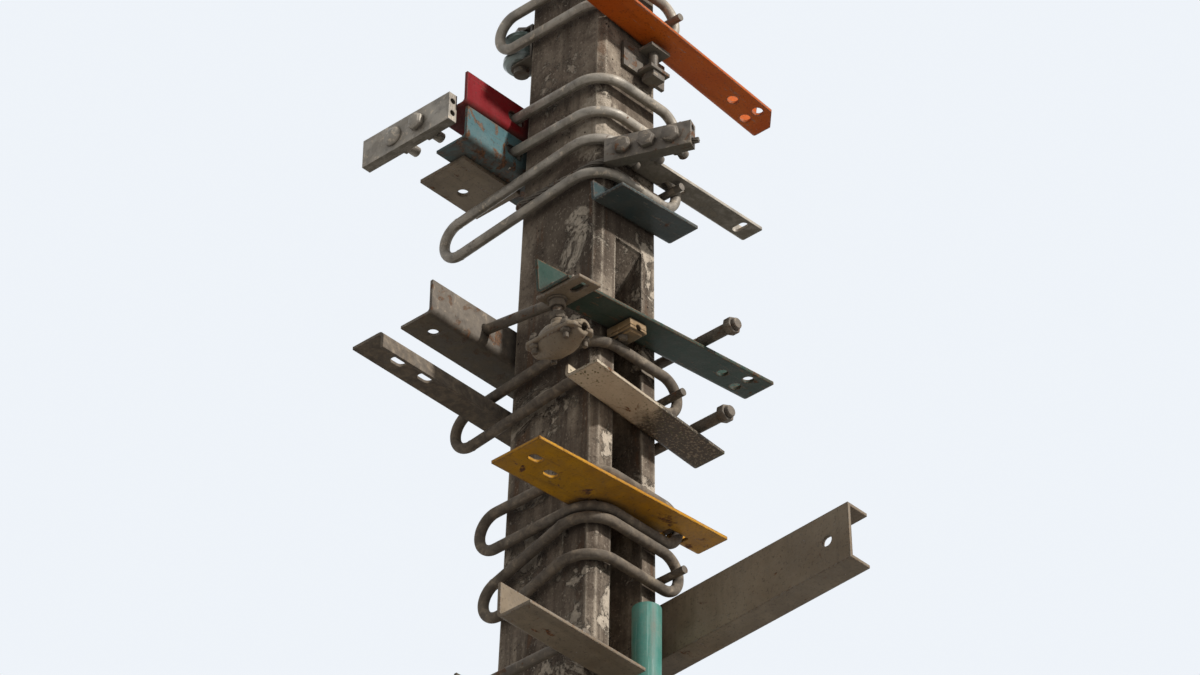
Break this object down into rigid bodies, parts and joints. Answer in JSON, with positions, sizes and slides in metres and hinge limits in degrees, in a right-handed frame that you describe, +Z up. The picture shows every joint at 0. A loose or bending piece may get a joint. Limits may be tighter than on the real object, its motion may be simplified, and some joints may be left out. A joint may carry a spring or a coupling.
{
  "type": "concrete telephone pole",
  "caption": "Double-T concrete telephone pole with bent clamp links, painted steel arms, an insulator bracket and a riser pipe, bare of its cables.",
  "frame": {"origin": "middle of the pole's foot at ground level", "axes": "+Z up along the pole, -Y out of the plain wide face, +X out of the narrow recessed face"},
  "size_m": [0.7214, 0.5965, 7.5003],
  "materials": {
    "weathered_concrete": "rough, stained and weathered",
    "dusty_galvanised": "dull zinc with dust and rust",
    "rusty_steel": "dark, dusty and rusted",
    "orange_paint": "satin, chipped at the edges",
    "red_paint": "satin, dusty",
    "teal_paint": "satin, worn",
    "dark_teal_paint": "satin, worn",
    "green_paint": "satin, chipped",
    "cream_paint": "chipped, mossy and rusty",
    "yellow_paint": "satin, rusty at the edges",
    "beige_dust": "caked with dust",
    "brass_tan": "dull, dusty and yellowish",
    "glazed_porcelain": "glazed grey-green",
    "green_pipe": "faded by the sun"
  },
  "bodies": {
    "root": {"pole_shaft": "weathered_concrete", "top_link": "dusty_galvanised", "top_key": "rusty_steel", "orange_arm": "orange_paint", "face_bracket": "rusty_steel", "insulator": "glazed_porcelain", "insulator_bracket": "rusty_steel", "upper_link": "dusty_galvanised", "upper_key": "rusty_steel", "red_arm": "red_paint", "teal_arm": "teal_paint", "tan_plate": "beige_dust", "strand_clamp": "dusty_galvanised", "middle_link": "dusty_galvanised", "middle_key": "rusty_steel", "narrow_arm": "dusty_galvanised", "dark_teal_arm": "dark_teal_paint", "guy_clamp": "rusty_steel", "guy_strand": "rusty_steel", "lower_link": "dusty_galvanised", "lower_key": "rusty_steel", "slotted_arm": "dusty_galvanised", "green_arm": "green_paint", "green_twin_arm": "rusty_steel", "green_tie_rods": "rusty_steel", "suspension_clamp": "beige_dust", "small_clamp": "brass_tan", "cream_arm": "cream_paint", "cream_backing_plate": "rusty_steel", "cream_tie_rod": "rusty_steel", "yellow_arm": "yellow_paint", "yellow_link": "dusty_galvanised", "yellow_key": "rusty_steel", "bottom_link": "dusty_galvanised", "bottom_key": "rusty_steel", "back_channel": "beige_dust", "beige_arm": "beige_dust", "beige_backing_bar": "rusty_steel", "beige_tie_rods": "rusty_steel", "riser_pipe": "green_pipe", "pipe_clips": "rusty_steel"}
  },
  "joints": []
}
